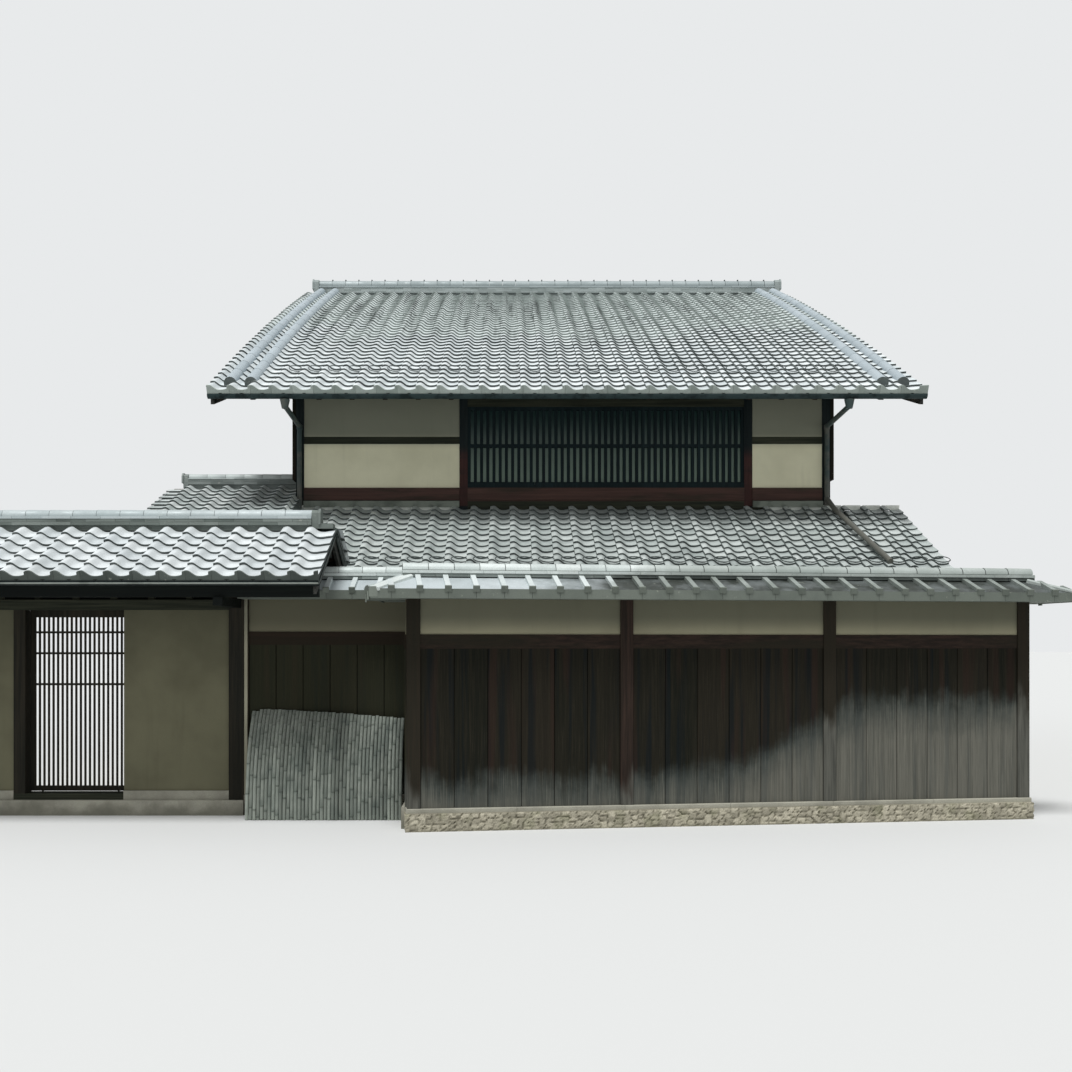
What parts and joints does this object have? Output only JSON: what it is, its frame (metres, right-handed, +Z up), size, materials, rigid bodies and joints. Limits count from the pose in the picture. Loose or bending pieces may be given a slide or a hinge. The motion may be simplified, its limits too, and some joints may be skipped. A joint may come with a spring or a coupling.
{
  "type": "machiya townhouse",
  "caption": "Two-storey townhouse with a swelling tiled gable roof, a tiled lower roof, a street gate with a sliding lattice door and a boarded street wall.",
  "frame": {"origin": "on the ground, on the underside of the stone base, below the middle of the upper front wall", "axes": "+X to the right seen from the street, +Y from the street to the back, +Z up"},
  "size_m": [12.3347, 17.819, 8.0391],
  "materials": {
    "dark_timber": "weathered dark stain",
    "timber": "weathered reddish-brown stain",
    "plaster": "smooth earth plaster",
    "roof_tile": "silver-grey smoked clay",
    "stone": "rough dressed stone",
    "earth_floor": "beaten earth",
    "pane": "frosted",
    "gutter_metal": "weathered",
    "pipe_metal": "weathered brown",
    "bamboo": "grey weathered bamboo"
  },
  "bodies": {
    "house": {"foundation": "stone", "ground_floor": "earth_floor", "upper_floor": "timber", "left_wall": "plaster", "right_wall": "plaster", "rear_wall": "plaster", "ground_front_wall": "plaster", "door_head_wall": "timber", "posts": "dark_timber", "front_rails": "timber", "front_plaster": "plaster", "window_lattices": "dark_timber", "window_panes": "pane", "roof_beams": "timber", "rafters": "dark_timber", "deck_front": "timber", "deck_rear": "timber", "tiles_front": "roof_tile", "tiles_rear": "roof_tile", "verge_covers": "roof_tile", "bargeboards": "dark_timber", "main_ridge": "roof_tile", "gutters": "gutter_metal", "downpipes": "pipe_metal", "leanto_deck": "timber", "leanto_tiles": "roof_tile", "wing_walls": "plaster", "wing_deck": "timber", "wing_tiles": "roof_tile", "wing_ridge": "roof_tile", "gate_posts": "timber", "gate_beams": "timber", "gate_arms": "dark_timber", "gate_purlins": "dark_timber", "gate_panels": "plaster", "gate_sill": "stone", "gate_deck": "timber", "gate_tiles": "roof_tile", "gate_ridge": "roof_tile", "wall_sill": "stone", "wall_frame": "timber", "wall_boards": "dark_timber", "wall_plaster": "plaster", "wall_roof": "roof_tile", "wall_ridge": "roof_tile", "bamboo_screen": "bamboo", "wall_rails": "timber", "side_boards": "dark_timber"},
    "gate_door": {"gate_door": "dark_timber"}
  },
  "joints": [
    {"name": "gate_slide", "type": "slide", "parent": "house", "child": "gate_door", "axis": [1, 0, 0], "range_m": [0, 0.95]}
  ]
}
